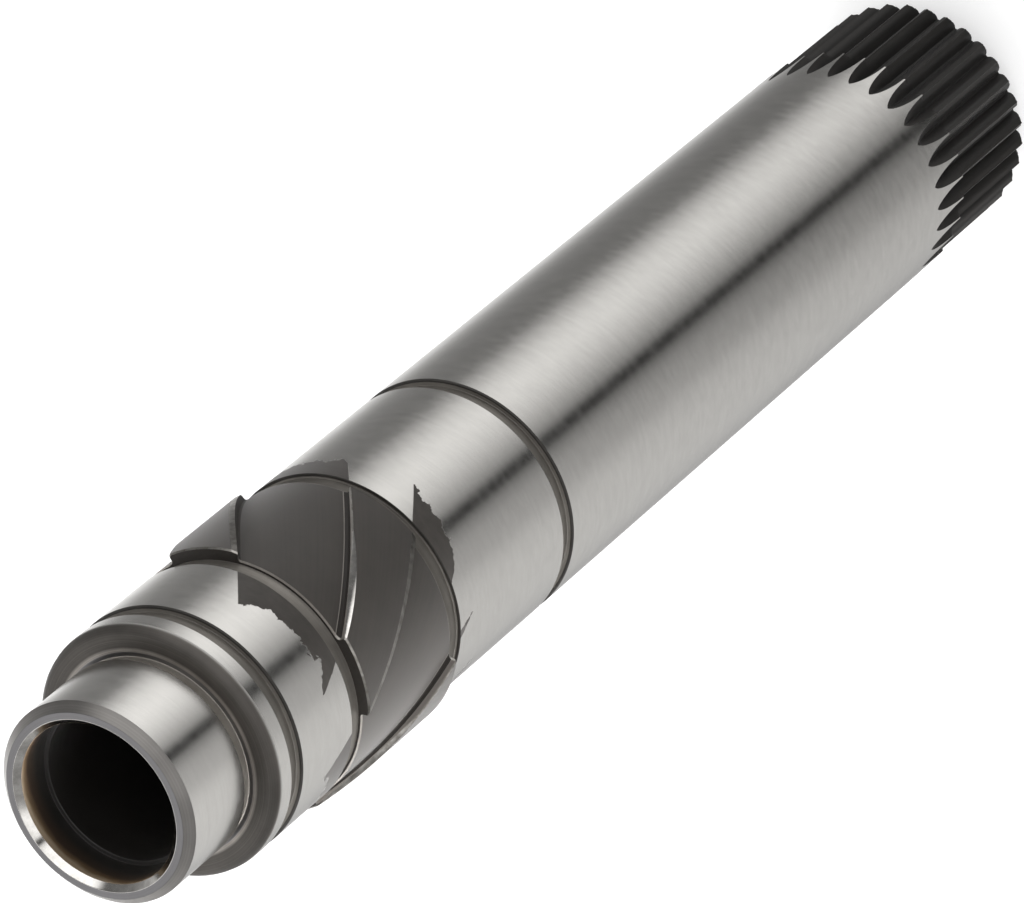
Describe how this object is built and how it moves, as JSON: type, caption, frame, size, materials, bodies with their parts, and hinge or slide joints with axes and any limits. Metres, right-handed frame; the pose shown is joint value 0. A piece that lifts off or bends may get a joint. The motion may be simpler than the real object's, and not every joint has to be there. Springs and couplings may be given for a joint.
{
  "type": "kickstart shaft",
  "caption": "One-piece kickstart shaft: hollow pilot, collar, ring grooves, left-hand helical splines, ground journals and a serrated end for the lever.",
  "frame": {"origin": "centre of the serrated end's flat face, which the shaft stands on", "axes": "+Z along the shaft's axis towards the hollow pilot; a helical tooth faces -Y near its middle"},
  "size_m": [0.0212, 0.0212, 0.1255],
  "materials": {
    "steel": "ground bright on the journals, dark from hardening on the splines and serrations"
  },
  "bodies": {
    "root": {"shaft": "steel"}
  },
  "joints": []
}
